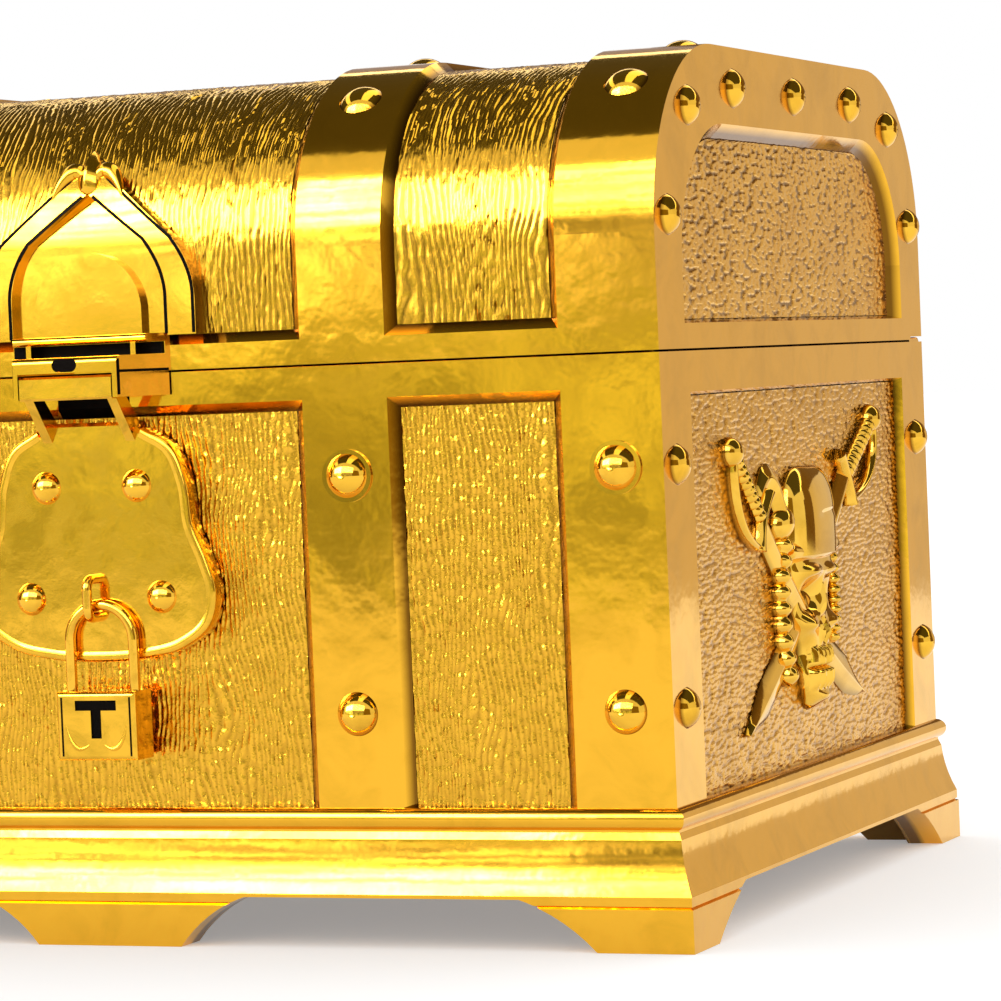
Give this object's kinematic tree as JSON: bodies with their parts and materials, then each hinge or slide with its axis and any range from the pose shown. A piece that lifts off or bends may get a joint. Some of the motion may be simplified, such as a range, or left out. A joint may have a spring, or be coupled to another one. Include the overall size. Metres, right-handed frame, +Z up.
{
  "type": "treasure chest box",
  "caption": "Gold plated treasure chest keepsake box with strapwork, studs, bracket feet, a hinged round-shouldered lid, a hasp and a hanging padlock.",
  "frame": {"origin": "on the table plane, under the middle of the whole object with its hasp and hinges", "axes": "+X to the right along the front, +Y to the back, +Z up"},
  "size_m": [0.272, 0.2142, 0.1933],
  "materials": {
    "gold_plating": "vacuum-plated mirror gold on moulded plastic",
    "gold_grain": "vacuum-plated gold over a raised wood-grain texture",
    "gold_pebble": "vacuum-plated gold over a fine pebbled texture",
    "gold_studs": "vacuum-plated mirror gold",
    "gold_hasp": "vacuum-plated satin gold",
    "gold_wire": "polished",
    "hinge_brass": "plain rolled",
    "pin_steel": "drawn wire"
  },
  "bodies": {
    "chest": {"chest_shell": "gold_plating", "base_plinth": "gold_plating", "front_centre_panel": "gold_grain", "front_left_panel": "gold_grain", "front_right_panel": "gold_grain", "back_centre_panel": "gold_grain", "back_left_panel": "gold_grain", "back_right_panel": "gold_grain", "right_end_panel": "gold_pebble", "left_end_panel": "gold_pebble", "right_end_emblem": "gold_plating", "left_end_emblem": "gold_plating", "front_strap_studs": "gold_studs", "back_strap_studs": "gold_studs", "end_strap_studs": "gold_studs", "hinge_box_leaves": "hinge_brass", "hinge_box_rivets": "hinge_brass", "hinge_pins": "pin_steel"},
    "lid": {"lid_shell": "gold_plating", "lid_centre_panel": "gold_grain", "lid_left_panel": "gold_grain", "lid_right_panel": "gold_grain", "lid_right_end_panel": "gold_pebble", "lid_left_end_panel": "gold_pebble", "lid_strap_studs": "gold_studs", "lid_end_studs": "gold_studs", "latch_arch": "gold_plating", "latch_lug": "gold_plating", "hasp_pin": "pin_steel", "hinge_lid_leaves": "hinge_brass", "hinge_lid_rivets": "hinge_brass"},
    "hasp": {"hasp_plate": "gold_hasp", "hasp_rivets": "gold_studs", "hasp_staple": "gold_wire"},
    "shackle": {"padlock_shackle": "gold_wire"},
    "padlock": {"padlock_front_shell": "gold_hasp", "padlock_back_shell": "gold_hasp"}
  },
  "joints": [
    {"name": "lid_hinge", "type": "hinge", "parent": "chest", "child": "lid", "pos_m": [0, 0.1045, 0.12535], "axis": [-1, 0, 0], "range_deg": [0, 105]},
    {"name": "hasp_hinge", "type": "hinge", "parent": "lid", "child": "hasp", "pos_m": [0, -0.1045, 0.1226], "axis": [-1, 0, 0], "range_deg": [0, 110]},
    {"name": "padlock_swing", "type": "hinge", "parent": "hasp", "child": "shackle", "pos_m": [0, -0.09865, 0.07475], "axis": [-1, 0, 0], "range_deg": [0, 75]},
    {"name": "padlock_drop", "type": "slide", "parent": "shackle", "child": "padlock", "axis": [0, 0, -1], "range_m": [0, 0.006]}
  ]
}
